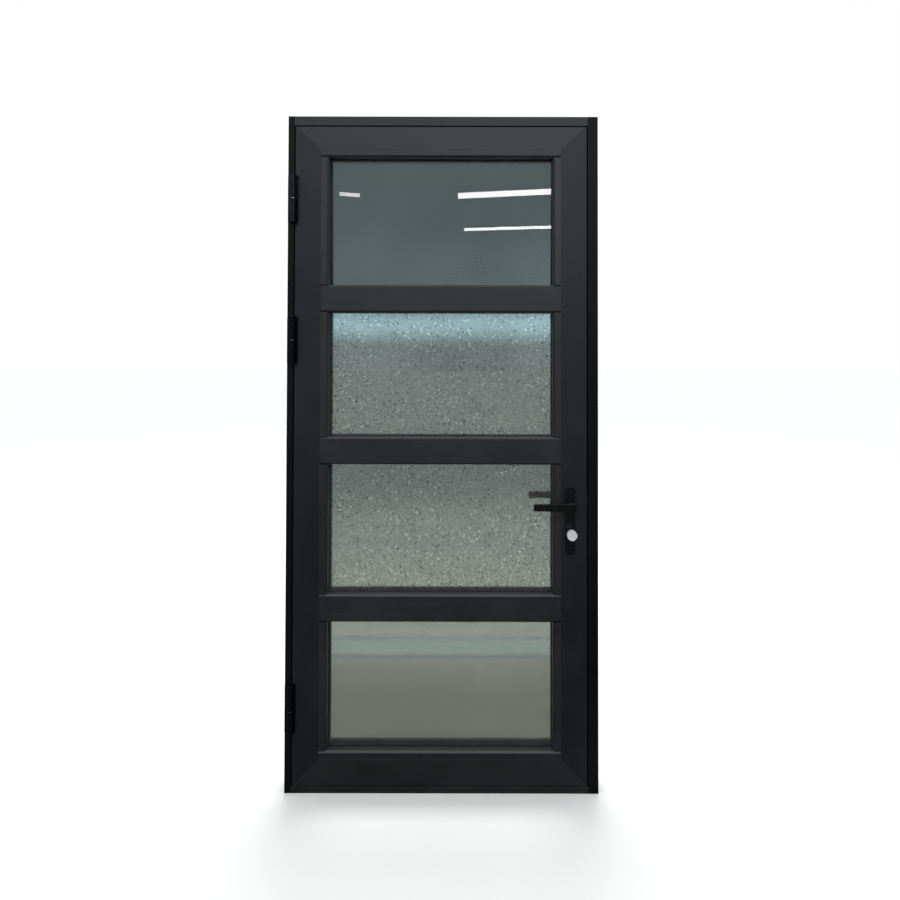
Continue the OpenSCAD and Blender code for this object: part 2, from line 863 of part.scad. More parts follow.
module front_gaskets() {
    color(black) for (i = [0:3]) {
        gasket_ring(i, bead_back, glass_y0);
    }
}

module back_gaskets() {
    color(black) for (i = [0:3]) {
        gasket_ring(i, glass_y3, fin_y);
    }
}

// Two blocks carry each sealed unit
module setting_blocks() {
    color(black) for (i = [0:3], x = [open_x0 + open_w / 5, open_x1 - open_w / 5 - setting_l]) {
        box([x, glass_y0, pane_z0[i]], [x + setting_l, glass_y3, pane_z0[i] + glass_edge]);
    }
}

// Outline of a profile cylinder, with play all round
module cylinder_shape(y0, y1, play) {
    low = cylinder_z - cyl_below + cyl_web / 2;
    rod_y(lock_x, cylinder_z, y0, y1, cyl_r + play);
    rod_y(lock_x, low, y0, y1, cyl_web / 2 + play);
    box([lock_x - cyl_web / 2 - play, y0, low], [lock_x + cyl_web / 2 + play, y1, cylinder_z]);
}

module lock_case() {
    t = case_wall;
    y0 = lock_y - case_t / 2;
    y1 = lock_y + case_t / 2;
    color(steel) difference() {
        box([case_x0, y0, case_z0], [case_x1, y1, case_z1]);
        box([case_x0 + t, y0 + t, case_z0 + t], [case_x1 - t, y1 - t, case_z1 - t]);
        rod_y(lock_x, spindle_z, y0 - eps, y1 + eps, follower_neck + 0.15);
        cylinder_shape(y0 - eps, y1 + eps, 0.3);
        lock_front_slots(case_x1 - t - eps, case_x1 + eps);
    }
}

// Slots for latch, bolt and cylinder screw in the case front and the faceplate
module lock_front_slots(x0, x1) {
    slot(x0, x1, spindle_z, latch_w / 2 + fit, latch_h / 2 + fit);
    slot(x0, x1, bolt_z, bolt_w / 2 + fit, bolt_h / 2 + fit);
    rod_x(x0, x1, lock_y, cylinder_z - cylinder_screw_drop, lock_screw_r + shank_fit);
}

// A slot on the lock line, given by its centre's height and its half width and height
module slot(x0, x1, z, half_w, half_h) {
    box([x0, lock_y - half_w, z - half_h], [x1, lock_y + half_w, z + half_h]);
}

function faceplate_screw_z() = [faceplate_z0 + face_screw_in, faceplate_z0 + faceplate_h - face_screw_in];

module faceplate_screw_holes() {
    for (z = faceplate_screw_z()) {
        rod_x(leaf_x1 - edge_wall - eps, leaf_x1 + eps, lock_y, z, face_screw_r + shank_fit);
    }
}

module lock_faceplate() {
    x0 = leaf_x1 - faceplate_t;
    color(silver) difference() {
        box(
            [x0, lock_y - faceplate_w / 2, faceplate_z0],
            [leaf_x1, lock_y + faceplate_w / 2, faceplate_z0 + faceplate_h]
        );
        lock_front_slots(x0 - eps, leaf_x1 + eps);
        faceplate_screw_holes();
        for (z = concat(faceplate_screw_z(), [cylinder_z - cylinder_screw_drop])) {
            translate([leaf_x1, lock_y, z]) rotate([0, -90, 0]) countersink();
        }
    }
}

// Two faceplate screws and the long one that holds the cylinder
module lock_screws() {
    color(silver) {
        for (z = faceplate_screw_z()) {
            translate([leaf_x1 - 0.02, lock_y, z]) rotate([0, -90, 0]) flush_screw(14);
        }
        translate([leaf_x1 - 0.02, lock_y, cylinder_z - cylinder_screw_drop]) rotate([0, -90, 0]) {
            cylinder(r1 = face_screw_head, r2 = face_screw_r, h = face_screw_head - face_screw_r);
            translate([0, 0, 1.4]) cylinder(r = lock_screw_r, h = backset + 2);
        }
    }
}

module cylinder_body() {
    color(silver) difference() {
        cylinder_shape(cyl_y0, cyl_y1, 0);
        rod_y(lock_x, cylinder_z, cyl_y0 - eps, cyl_y1 + eps, plug_r + 0.05);
        box(
            [lock_x - cyl_r - eps, lock_y - cam_half - fit, cylinder_z - cam_slot],
            [lock_x + cyl_r + eps, lock_y + cam_half + fit, cylinder_z + cyl_r + eps]
        );
        rod_x(
            lock_x - cyl_web, lock_x + cyl_web, lock_y,
            cylinder_z - cylinder_screw_drop, lock_screw_r + shank_fit
        );
    }
}

// A long plate with round ends: from y0 to y1
module plate_blank(y0, y1) {
    end_z = plate_h / 2 - plate_w / 2;
    for (side = [-1, 1]) {
        rod_y(lock_x, plate_z + side * end_z, y0, y1, plate_w / 2);
    }
    box([lock_x - plate_w / 2, y0, plate_z - end_z], [lock_x + plate_w / 2, y1, plate_z + end_z]);
}

module handle_plate_front() {
    y0 = y_front - plate_t;
    color(black) difference() {
        plate_blank(y0, y_front);
        rod_y(lock_x, spindle_z, y0 - eps, y_front + eps, hub_r + hub_fit);
        cylinder_shape(y0 - eps, y_front + eps, fit);
        for (z = plate_screw_z) {
            rod_y(lock_x, z, y0 - eps, y_front + eps, plate_screw_r + shank_fit);
            translate([lock_x, y0 - 0.01, z]) rotate([-90, 0, 0])
                cylinder(r1 = plate_screw_head + 0.05, r2 = plate_screw_r + 0.05, h = plate_screw_cone);
        }
    }
}

// The back plate carries two threaded posts that reach through the stile
module handle_plate_back() {
    y1 = y_back + plate_t;
    color(black) difference() {
        union() {
            plate_blank(y_back, y1);
            for (z = plate_screw_z) {
                rod_y(lock_x, z, y_front + 3, y_back + eps, post_r);
            }
        }
        rod_y(lock_x, spindle_z, y_back - eps, y1 + eps, hub_r + hub_fit);
        cylinder_shape(y_back - eps, y1 + eps, fit);
        for (z = plate_screw_z) {
            rod_y(lock_x, z, y_front, y_back - 2, plate_screw_r + shank_fit);
        }
    }
}

module handle_plate_screws() {
    color(silver) for (z = plate_screw_z) {
        translate([lock_x, y_front - plate_t + 0.02, z]) rotate([-90, 0, 0]) {
            cylinder(r1 = plate_screw_head, r2 = plate_screw_r, h = plate_screw_cone);
            translate([0, 0, plate_screw_cone - 0.01])
                cylinder(r = plate_screw_r, h = plate_t + frame_d - plate_screw_cone - 8);
        }
    }
}

// Lever on the front: a tapered bar with round corners on a round hub
module lever_outline() {
    r = lever_round;
    root = hub_r + 4;
    corners = [
        [root - r, lever_h / 2 - r, 0], [r - lever_reach, tip_h / 2 - r, 90],
        [r - lever_reach, r - tip_h / 2, 180], [root - r, r - lever_h / 2, 270]
    ];
    polygon([
        for (c = corners, a = [0:15:90]) [c[0] + r * cos(c[2] + a), c[1] + r * sin(c[2] + a)]
    ]);
}

module lever() {
    y0 = y_front - lever_out;
    hub_end = y_front - 0.5;
    difference() {
        union() {
            translate([lock_x, 0, spindle_z]) through_depth(y0, y0 + lever_t) lever_outline();
            rod_y(lock_x, spindle_z, y0 + lever_t - eps, hub_end, hub_r);
        }
        box(
            [lock_x - square_side / 2 - 0.05, -spindle_l / 2 - fit, spindle_z - square_side / 2 - 0.05],
            [lock_x + square_side / 2 + 0.05, 0, spindle_z + square_side / 2 + 0.05]
        );
    }
}

module lever_front() {
    color(black) lever();
}

module lever_back() {
    color(black) mirror([0, 1, 0]) lever();
}

module spindle() {
    half = square_side / 2;
    color(steel) box(
        [lock_x - half, -spindle_l / 2, spindle_z - half],
        [lock_x + half, spindle_l / 2, spindle_z + half]
    );
}

// The follower turns with the spindle in the side walls of the lock case
module lock_follower() {
    half = square_side / 2 + 0.05;
    disc = case_t / 2 - case_wall - fit;
    color(steel) difference() {
        union() {
            rod_y(lock_x, spindle_z, lock_y - disc, lock_y + disc, follower_r);
            rod_y(lock_x, spindle_z, lock_y - case_t / 2, lock_y + case_t / 2, follower_neck);
        }
        box(
            [lock_x - half, lock_y - case_t, spindle_z - half],
            [lock_x + half, lock_y + case_t, spindle_z + half]
        );
    }
}

// The latch is slanted on the side that meets the strike as the door closes
module latch_bolt() {
    tip = leaf_x1 + latch_throw;
    half = latch_w / 2;
    color(silver) translate([0, 0, spindle_z - latch_h / 2]) linear_extrude(latch_h) polygon([
        [leaf_x1 - faceplate_t - latch_tail, lock_y - half], [tip, lock_y - half],
        [tip, lock_y - half + 2.5], [leaf_x1 + 1, lock_y + half],
        [leaf_x1 - faceplate_t - latch_tail, lock_y + half]
    ]);
}

module deadbolt() {
    color(silver) box(
        [leaf_x1 - 0.5 - bolt_tail, lock_y - bolt_w / 2, bolt_z - bolt_h / 2],
        [leaf_x1 - 0.5, lock_y + bolt_w / 2, bolt_z + bolt_h / 2]
    );
}

module thumb_turn() {
    y0 = y_front - knob_out;
    color(silver) {
        rod_y(lock_x, cylinder_z, y0, y0 + knob_l, knob_dia / 2);
        rod_y(lock_x, cylinder_z, y0 + knob_l - eps, cyl_y0 - fit, cyl_r);
    }
}

// The plug under the thumb turn carries the cam that drives the deadbolt
module turn_plug() {
    cam_y = lock_y - cam_half;
    color(steel) {
        rod_y(lock_x, cylinder_z, cyl_y0 - fit, cam_y + eps, plug_r);
        rod_y(lock_x, cylinder_z, cam_y, cam_y + 2 * cam_half, plug_r + 1);
        box([lock_x - 3, cam_y, cylinder_z], [lock_x + 3, cam_y + 2 * cam_half, cylinder_z + cam_r]);
    }
}

module key_plug() {
    y0 = lock_y + cam_half + fit;
    color(silver) difference() {
        rod_y(lock_x, cylinder_z, y0, cyl_y1, plug_r);
        box([lock_x - 0.8, cyl_y1 - 25, cylinder_z - 5], [lock_x + 0.8, cyl_y1 + eps, cylinder_z + 4]);
    }
}

frame_head();
frame_jamb_hinge();
frame_jamb_lock();
frame_sill();
frame_corner_blocks();
frame_corner_screws();
frame_seal();
strike_plate();
strike_screws();
hinge_frame_wings();
hinge_frame_screws();
hinge_pins();
hinge_washers();
hinge_bottom_caps();
stile_hinge();
stile_lock();
rail_top();
rail_bottom();
mid_rail(0);  // mid_rail_1
mid_rail(1);  // mid_rail_2
mid_rail(2);  // mid_rail_3
leaf_corner_cleats();
mid_rail_blocks();
mid_rail_screws();
beads(0);  // beads_1
beads(1);  // beads_2
beads(2);  // beads_3
beads(3);  // beads_4
outer_pane(0);  // outer_pane_1
outer_pane(1);  // outer_pane_2
outer_pane(2);  // outer_pane_3
outer_pane(3);  // outer_pane_4
inner_pane(0);  // inner_pane_1
inner_pane(1);  // inner_pane_2
inner_pane(2);  // inner_pane_3
inner_pane(3);  // inner_pane_4
pane_spacers();
front_gaskets();
back_gaskets();
setting_blocks();
hinge_leaf_wings();
hinge_leaf_screws();
hinge_top_caps();
lock_case();
lock_faceplate();
lock_screws();
cylinder_body();
handle_plate_front();
handle_plate_back();
handle_plate_screws();
lever_front();
lever_back();
spindle();
lock_follower();
latch_bolt();
deadbolt();
thumb_turn();
turn_plug();
key_plug();
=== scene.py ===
import math
import bmesh
import bpy
from mathutils import Matrix, Vector


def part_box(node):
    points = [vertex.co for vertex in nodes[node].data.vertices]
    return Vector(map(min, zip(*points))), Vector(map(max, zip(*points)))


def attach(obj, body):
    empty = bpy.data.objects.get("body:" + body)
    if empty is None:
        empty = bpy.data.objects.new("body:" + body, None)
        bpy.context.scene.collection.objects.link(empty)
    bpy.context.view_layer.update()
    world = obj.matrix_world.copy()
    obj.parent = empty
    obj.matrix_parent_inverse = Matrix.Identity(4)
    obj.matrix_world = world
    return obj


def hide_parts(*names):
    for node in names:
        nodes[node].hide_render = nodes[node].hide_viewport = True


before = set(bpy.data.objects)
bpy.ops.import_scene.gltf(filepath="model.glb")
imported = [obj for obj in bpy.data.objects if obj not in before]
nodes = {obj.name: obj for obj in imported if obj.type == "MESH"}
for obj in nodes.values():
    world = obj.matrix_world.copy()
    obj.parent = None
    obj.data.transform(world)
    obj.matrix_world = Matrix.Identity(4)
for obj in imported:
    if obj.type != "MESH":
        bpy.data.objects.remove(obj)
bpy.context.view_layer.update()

scene = bpy.context.scene
print("glass door: frame loaded,", len(nodes), "nodes")


def newMaterial(name):
    mat = bpy.data.materials.new(name)
    mat.use_nodes = True
    return mat, mat.node_tree, mat.node_tree.nodes["Principled BSDF"]


def addNode(tree, kind, **settings):
    item = tree.nodes.new(kind)
    for key, value in settings.items():
        setattr(item, key, value)
    return item


def feed(tree, socket, value):
    # value is another node's output, a colour or a plain number
    if hasattr(value, "links"):
        tree.links.new(value, socket)
    elif socket.type == "RGBA":
        socket.default_value = (*value, 1)
    else:
        socket.default_value = value


def combine(tree, operation, a, b=0, clamp=False):
    item = addNode(tree, "ShaderNodeMath", operation=operation, use_clamp=clamp)
    feed(tree, item.inputs[0], a)
    feed(tree, item.inputs[1], b)
    return item.outputs[0]


def times(tree, a, b, clamp=False):
    return combine(tree, "MULTIPLY", a, b, clamp)


def plus(tree, a, b, clamp=False):
    return combine(tree, "ADD", a, b, clamp)


def remap(tree, value, fromRange, toRange=(0, 1)):
    item = addNode(tree, "ShaderNodeMapRange", clamp=True)
    item.inputs["From Min"].default_value, item.inputs["From Max"].default_value = fromRange
    item.inputs["To Min"].default_value, item.inputs["To Max"].default_value = toRange
    feed(tree, item.inputs["Value"], value)
    return item.outputs["Result"]


def blendColour(tree, factor, colourA, colourB):
    item = addNode(tree, "ShaderNodeMix", data_type="RGBA")
    feed(tree, item.inputs[0], factor)
    feed(tree, item.inputs[6], colourA)    # sockets 6, 7 and output 2 are the colour ones
    feed(tree, item.inputs[7], colourB)
    return item.outputs[2]


def scaleColour(tree, colour, factor):
    item = addNode(tree, "ShaderNodeVectorMath", operation="SCALE")
    feed(tree, item.inputs[0], colour)
    feed(tree, item.inputs["Scale"], factor)
    return item.outputs[0]


def axisOf(tree, vector, axis):
    split = addNode(tree, "ShaderNodeSeparateXYZ")
    feed(tree, split.inputs[0], vector)
    return split.outputs[axis]


def metres(tree, stretch=(1, 1, 1)):
    # object coordinates are the model's own metres, so every grain has its real size
    coords = addNode(tree, "ShaderNodeTexCoord")
    mapping = addNode(tree, "ShaderNodeMapping")
    feed(tree, mapping.inputs["Scale"], stretch)
    feed(tree, mapping.inputs["Vector"], coords.outputs["Object"])
    return mapping.outputs["Vector"]


def noise(tree, vector, scale, detail=2.0, rough=0.5, output="Fac"):
    item = addNode(tree, "ShaderNodeTexNoise")
    feed(tree, item.inputs["Scale"], scale)
    feed(tree, item.inputs["Detail"], detail)
    feed(tree, item.inputs["Roughness"], rough)
    feed(tree, item.inputs["Vector"], vector)
    return item.outputs[output]


def voronoi(tree, vector, scale, feature="F1", output="Distance"):
    item = addNode(tree, "ShaderNodeTexVoronoi", feature=feature)
    feed(tree, item.inputs["Scale"], scale)
    feed(tree, item.inputs["Vector"], vector)
    return item.outputs[output]


def addBump(tree, shader, height, strength, distance):
    bump = addNode(tree, "ShaderNodeBump")
    feed(tree, bump.inputs["Strength"], strength)
    feed(tree, bump.inputs["Distance"], distance)
    feed(tree, bump.inputs["Height"], height)
    feed(tree, shader.inputs["Normal"], bump.outputs["Normal"])


def colourRamp(tree, value, stops):
    ramp = addNode(tree, "ShaderNodeValToRGB")
    ramp.color_ramp.interpolation = "EASE"
    while len(ramp.color_ramp.elements) < len(stops):
        ramp.color_ramp.elements.new(0.5)
    for element, (at, colour) in zip(ramp.color_ramp.elements, stops):
        element.position = at
        element.color = (*colour, 1)
    feed(tree, ramp.inputs[0], value)
    return ramp.outputs["Color"]


ledgeSlope = (0.35, 0.85)   # upward part of the normal where dust starts to stay, and stays fully; on the powder coat the same cover is also painted sky light


def upwardness(tree):
    # 0 on walls, 1 on faces that look up, where dust settles; on the powder coat it also places painted sky
    # light on the upward faces
    geometry = addNode(tree, "ShaderNodeNewGeometry")
    return remap(tree, axisOf(tree, geometry.outputs["Normal"], "Z"), ledgeSlope)


def around(middle, swing):
    below, above = swing
    return middle - below, middle + above


# in all finishes a scale is the number of grains in a metre, and a depth is in metres;
# a range says where a noise starts to show and where it shows fully
noiseSpan = (0.3, 0.7)      # holds nearly all values of a noise

powderCoat = {
    # colour and specular level of the coat on each bar: one coat in lit and shaded copies, lighter on the
    # rails, beads, head and sill as painted light, darker on the stiles and darkest on the jambs as painted
    # shade
    "stile": ((0.0070, 0.0084, 0.0094), 0.42),
    "rail": ((0.0104, 0.0120, 0.0128), 0.57),
    "head": ((0.0110, 0.0120, 0.0122), 0.48),
    "jamb": ((0.0030, 0.0033, 0.0034), 0.15),
    "roughness": 0.44,
    "roughRange": (0.25, 0.75),
    "roughSwing": (0.06, 0.08),
    "dustRoughness": 0.3,   # added where dust covers fully
    "patchScale": 3.1,      # hand-sized patches
    "patchSwing": (0.30, 0.30),    # how far the tone swings over them
    "cloudScale": 17,
    "cloudRange": (0.35, 0.65),
    "cloudSwing": (0.08, 0.08),
    "scuffScale": 38,
    "scuffStretch": (7, 7, 0.9),
    "scuffRange": (0.70, 0.76),
    "scuffZone": 6.3,       # scale of the places that have scuffs at all
    "scuffZoneRange": (0.56, 0.66),
    "scuffCover": 0.55,
    "scuffColour": (0.07, 0.072, 0.07),
    "upwardCover": 0.14,           # cover on faces that look up: dust, and painted sky light on upward slopes
    "dustAndSheenScale": 24,
    "dustAndSheenRange": (0.30, 0.62),
    "wipedShare": 0.45,     # dust and painted sky light left where it has been wiped
    "dustAndSheenColour": (0.085, 0.086, 0.080),
    "speckScale": 420,
    "speckRange": (0.10, 0.02),
    "speckZone": 9,
    "speckZoneRange": (0.5, 0.75),
    "speckCover": 0.175,
    "peelScale": 1100,      # orange peel
    "grainScale": 2600,
    "peelStrength": 0.5,
    "peelDepth": 0.00006,
}


def makePowderCoat(name, colour, specular):
    cfg = powderCoat
    mat, tree, shader = newMaterial(name)
    place = metres(tree)
    patches = noise(tree, place, cfg["patchScale"], detail=5, rough=0.55)
    clouds = noise(tree, place, cfg["cloudScale"], detail=3, rough=0.6)
    tone = plus(tree, remap(tree, patches, noiseSpan, around(1, cfg["patchSwing"])),
                remap(tree, clouds, cfg["cloudRange"], around(0, cfg["cloudSwing"])))
    tinted = scaleColour(tree, colour, tone)
    # handling scuffs: short thin pale streaks, few and faint
    streaks = noise(tree, metres(tree, cfg["scuffStretch"]), cfg["scuffScale"], detail=6, rough=0.7)
    rare = noise(tree, place, cfg["scuffZone"])
    scuffs = times(tree, remap(tree, streaks, cfg["scuffRange"]), remap(tree, rare, cfg["scuffZoneRange"]))
    scuffed = blendColour(tree, times(tree, scuffs, cfg["scuffCover"]), tinted, cfg["scuffColour"])
    # loose dust on ledges, thinner where it has been wiped; this pale cover also stands for painted sky
    # light on the upward slopes of beads and rails
    ledgeNoise = noise(tree, place, cfg["dustAndSheenScale"], detail=4, rough=0.6)
    wipedDustAndSheen = remap(tree, ledgeNoise, cfg["dustAndSheenRange"], (cfg["wipedShare"], 1.0))
    upwardCover = times(tree, times(tree, upwardness(tree), wipedDustAndSheen), cfg["upwardCover"])
    specks = remap(tree, voronoi(tree, place, cfg["speckScale"]), cfg["speckRange"])
    gathered = remap(tree, noise(tree, place, cfg["speckZone"]), cfg["speckZoneRange"])
    cover = plus(tree, upwardCover, times(tree, times(tree, specks, gathered), cfg["speckCover"]), clamp=True)
    feed(tree, shader.inputs["Base Color"], blendColour(tree, cover, scuffed, cfg["dustAndSheenColour"]))
    rough = remap(tree, patches, cfg["roughRange"], around(cfg["roughness"], cfg["roughSwing"]))
    dusty = times(tree, cover, cfg["dustRoughness"])
    feed(tree, shader.inputs["Roughness"], plus(tree, rough, dusty, clamp=True))
    feed(tree, shader.inputs["Specular IOR Level"], specular)
    grain = times(tree, noise(tree, place, cfg["grainScale"]), 0.5)
    peel = plus(tree, voronoi(tree, place, cfg["peelScale"], "SMOOTH_F1"), grain)
    addBump(tree, shader, peel, cfg["peelStrength"], cfg["peelDepth"])
    return mat


glassPane = {
    "tint": (0.485, 0.510, 0.495),   # what one pane lets through
    "film": 0.035,                   # grey film left by dried water
    "filmColour": (0.34, 0.355, 0.335),
    # shares of the film and of the drop marks: outer panes from the top, and all inner panes
    "outer": {1: (0.5, 0.15), 2: (1.3, 0.95), 3: (1.3, 1.0), 4: (0.9, 0.35)},
    "inner": (0.5, 0.0),
    "curtainScale": 2.4,
    "curtainStretch": (6, 0.1, 0.8),
    "curtainTone": (0.86, 1.12),     # least and most film over the curtains
    "patchScale": 5.5,
    "patchRange": (0.35, 0.68),
    "patchTone": (0.80, 1.18),
    "dropScale": 68,
    "darkDropScale": 85,
    "dropRim": (0.27, 0.20),         # where a drop ends and where it is full, in shares of its cell
    "wobbleScale": 130,
    "wobble": (0.006, 0.0, 0.006),   # how far the drops' outlines stray
    "zoneScale": 7.5,
    "zoneRange": (0.66, 0.84),       # the higher a pane's drop share, the lower this range
    "zoneDrop": 0.34,
    "zoneLeast": 0.15,               # drop marks left outside the zones
    "glintDrops": 0.78,
    "darkDrops": 0.80,
    "dropGlint": (0.80, 0.83, 0.81),
    "dropEdge": (0.15, 0.16, 0.157),
    "roughness": 0.004,
    "filmRoughness": 0.03,
    "index": 1.5,
    "waveScale": 2.2,
    "waveStrength": 0.10,
    "waveDepth": 0.0005,
}


def makeGlass(name, filmShare, drops):
    cfg = glassPane
    mat, tree, shader = newMaterial(name)
    flat = metres(tree, (1, 0.02, 1))    # the same marks through the thickness of the pane
    # the film runs down in faint curtains and gathers in patches
    curtains = noise(tree, metres(tree, cfg["curtainStretch"]), cfg["curtainScale"], detail=4, rough=0.6)
    patches = noise(tree, flat, cfg["patchScale"], detail=5, rough=0.6)
    cover = times(tree, remap(tree, curtains, noiseSpan, cfg["curtainTone"]),
                  remap(tree, patches, cfg["patchRange"], cfg["patchTone"]))
    film = times(tree, cover, cfg["film"] * filmShare, clamp=True)
    # fine drops: the pale ones are painted glints that let more through than the clear glass, the others
    # show their dark edge
    wobble = addNode(tree, "ShaderNodeVectorMath", operation="MULTIPLY_ADD")
    feed(tree, wobble.inputs[0], noise(tree, flat, cfg["wobbleScale"], output="Color"))
    feed(tree, wobble.inputs[1], cfg["wobble"])
    feed(tree, wobble.inputs[2], flat)
    glintMask = remap(tree, voronoi(tree, wobble.outputs[0], cfg["dropScale"]), cfg["dropRim"])
    dark = remap(tree, voronoi(tree, wobble.outputs[0], cfg["darkDropScale"]), cfg["dropRim"])
    low, high = cfg["zoneRange"]
    fall = drops * cfg["zoneDrop"]
    zone = noise(tree, flat, cfg["zoneScale"], detail=5, rough=0.65)
    zone = remap(tree, zone, (low - fall, high - fall), (cfg["zoneLeast"], 1.0))
    lit = times(tree, times(tree, glintMask, zone), drops * cfg["glintDrops"])
    shaded = times(tree, times(tree, dark, zone), drops * cfg["darkDrops"])
    # painted glints in the middles of the pale drops
    clear = blendColour(tree, lit, cfg["tint"], cfg["dropGlint"])
    clear = blendColour(tree, shaded, clear, cfg["dropEdge"])
    feed(tree, shader.inputs["Base Color"], blendColour(tree, film, clear, cfg["filmColour"]))
    feed(tree, shader.inputs["Transmission Weight"], combine(tree, "SUBTRACT", 1.0, film, clamp=True))
    rough = plus(tree, times(tree, film, cfg["filmRoughness"]), cfg["roughness"])
    feed(tree, shader.inputs["Roughness"], rough)
    feed(tree, shader.inputs["IOR"], cfg["index"])
    # float glass is almost flat: a slow wave far below a millimetre
    wave = noise(tree, metres(tree), cfg["waveScale"], detail=1)
    addBump(tree, shader, wave, cfg["waveStrength"], cfg["waveDepth"])
    return mat


blackGloss = {
    "hinge": (0.17, 0.17),     # roughness and specular level
    "handle": (0.19, 0.62),
    "roughSwing": (0.05, 0.14),
    "colour": (0.0022, 0.0023, 0.0026),
    "wearColour": (0.022, 0.022, 0.023),
    "wear": 0.5,
    "printScale": 42,
    "printRange": (0.5, 0.66),
    "hairScale": 190,
    "hairStretch": (1, 1, 9),
    "hairRange": (0.68, 0.78),
    "grainScale": 900,
    "grainStrength": 0.25,
    "grainDepth": 0.00003,
}


def makeBlackGloss(name, roughness, specular):
    cfg = blackGloss
    mat, tree, shader = newMaterial(name)
    place = metres(tree)
    prints = noise(tree, place, cfg["printScale"], detail=5, rough=0.65)
    hairs = noise(tree, metres(tree, cfg["hairStretch"]), cfg["hairScale"], detail=4, rough=0.7)
    rubbed = times(tree, remap(tree, hairs, cfg["hairRange"]), remap(tree, prints, cfg["printRange"]))
    colour = blendColour(tree, times(tree, rubbed, cfg["wear"]), cfg["colour"], cfg["wearColour"])
    feed(tree, shader.inputs["Base Color"], colour)
    rough = remap(tree, prints, noiseSpan, around(roughness, cfg["roughSwing"]))
    feed(tree, shader.inputs["Roughness"], rough)
    feed(tree, shader.inputs["Specular IOR Level"], specular)
    grain = noise(tree, place, cfg["grainScale"], detail=3)
    addBump(tree, shader, grain, cfg["grainStrength"], cfg["grainDepth"])
    return mat


satinNickel = {
    # roughness, metallic level and the stretch of the tool marks
    "turned": (0.34, 0.45, (1, 30, 1)),
    "drawn": (0.38, 1.0, (1, 1, 26)),
    "roughSwing": (0.06, 0.08),
    "colour": (0.78, 0.785, 0.78),
    "grime": (0.46, 0.455, 0.44),
    "grimeScale": 95,
    "grimeRange": (0.52, 0.8),
    "grimeCover": 0.4,
    "grimeRoughness": 0.1,
    "dullRange": (0.4, 0.8),
    "lineScale": 210,
    "lineStrength": 0.3,
    "lineDepth": 0.00002,
}


def makeNickel(name, roughness, metallic, stretch):
    cfg = satinNickel
    mat, tree, shader = newMaterial(name)
    place = metres(tree)
    feed(tree, shader.inputs["Metallic"], metallic)
    stains = noise(tree, place, cfg["grimeScale"], detail=4, rough=0.6)
    grime = remap(tree, stains, cfg["grimeRange"], (0, cfg["grimeCover"]))
    feed(tree, shader.inputs["Base Color"], blendColour(tree, grime, cfg["colour"], cfg["grime"]))
    lines = noise(tree, metres(tree, stretch), cfg["lineScale"], detail=3, rough=0.6)
    rough = remap(tree, lines, noiseSpan, around(roughness, cfg["roughSwing"]))
    dull = remap(tree, stains, cfg["dullRange"], (0, cfg["grimeRoughness"]))
    feed(tree, shader.inputs["Roughness"], plus(tree, rough, dull))
    addBump(tree, shader, lines, cfg["lineStrength"], cfg["lineDepth"])
    return mat


bareMetal = {
    # colour, shade between its flakes and roughness
    "zinc": ((0.50, 0.505, 0.51), (0.36, 0.35, 0.33), 0.34),
    "black": ((0.055, 0.055, 0.058), (0.025, 0.025, 0.026), 0.36),
    "mill": ((0.66, 0.665, 0.67), (0.50, 0.50, 0.50), 0.38),
    "roughSwing": (0.07, 0.09),
    "flakeScale": 260,
    "flakeShare": 0.3,
    "stainScale": 33,
    "stainRange": (0.4, 0.75),
    "stainShare": 0.7,
    "drawScale": 700,
    "drawStretch": (1, 1, 0.05),
    "drawStrength": 0.3,
    "drawDepth": 0.00003,
}


def makeBareMetal(name, colour, shade, roughness):
    cfg = bareMetal
    mat, tree, shader = newMaterial(name)
    place = metres(tree)
    feed(tree, shader.inputs["Metallic"], 1.0)
    split = addNode(tree, "ShaderNodeSeparateColor")
    feed(tree, split.inputs[0], voronoi(tree, place, cfg["flakeScale"], output="Color"))
    stain = noise(tree, place, cfg["stainScale"], detail=5, rough=0.6)
    mixed = plus(tree, times(tree, split.outputs[0], cfg["flakeShare"]),
                 remap(tree, stain, cfg["stainRange"], (0, cfg["stainShare"])))
    feed(tree, shader.inputs["Base Color"], blendColour(tree, mixed, colour, shade))
    drawn = noise(tree, metres(tree, cfg["drawStretch"]), cfg["drawScale"], detail=3)
    rough = remap(tree, drawn, noiseSpan, around(roughness, cfg["roughSwing"]))
    feed(tree, shader.inputs["Roughness"], rough)
    addBump(tree, shader, drawn, cfg["drawStrength"], cfg["drawDepth"])
    return mat


softBlack = {
    # colour, its pale bloom, roughness and grain scale
    "rubber": ((0.0042, 0.0042, 0.0044), (0.018, 0.018, 0.017), 0.66, 1400),
    "spacer": ((0.0045, 0.0045, 0.0045), (0.014, 0.014, 0.014), 0.60, 500),
    "plastic": ((0.020, 0.020, 0.021), (0.050, 0.050, 0.048), 0.52, 800),
    "roughSwing": (0.06, 0.1),
    "specular": 0.20,
    "hazeScale": 28,
    "hazeRange": (0.5, 0.8),
    "hazeCover": 0.5,
    "upwardCover": 0.12,
    "grainStrength": 0.4,
    "grainDepth": 0.00008,
}


def makeSoftBlack(name, colour, bloom, roughness, grainScale):
    cfg = softBlack
    mat, tree, shader = newMaterial(name)
    place = metres(tree)
    haze = noise(tree, place, cfg["hazeScale"], detail=5, rough=0.65)
    upwardCover = times(tree, upwardness(tree), cfg["upwardCover"])
    amount = plus(tree, remap(tree, haze, cfg["hazeRange"], (0, cfg["hazeCover"])), upwardCover, clamp=True)
    feed(tree, shader.inputs["Base Color"], blendColour(tree, amount, colour, bloom))
    rough = remap(tree, haze, noiseSpan, around(roughness, cfg["roughSwing"]))
    feed(tree, shader.inputs["Roughness"], rough)
    feed(tree, shader.inputs["Specular IOR Level"], cfg["specular"])
    grain = noise(tree, place, grainScale, detail=3)
    addBump(tree, shader, grain, cfg["grainStrength"], cfg["grainDepth"])
    return mat
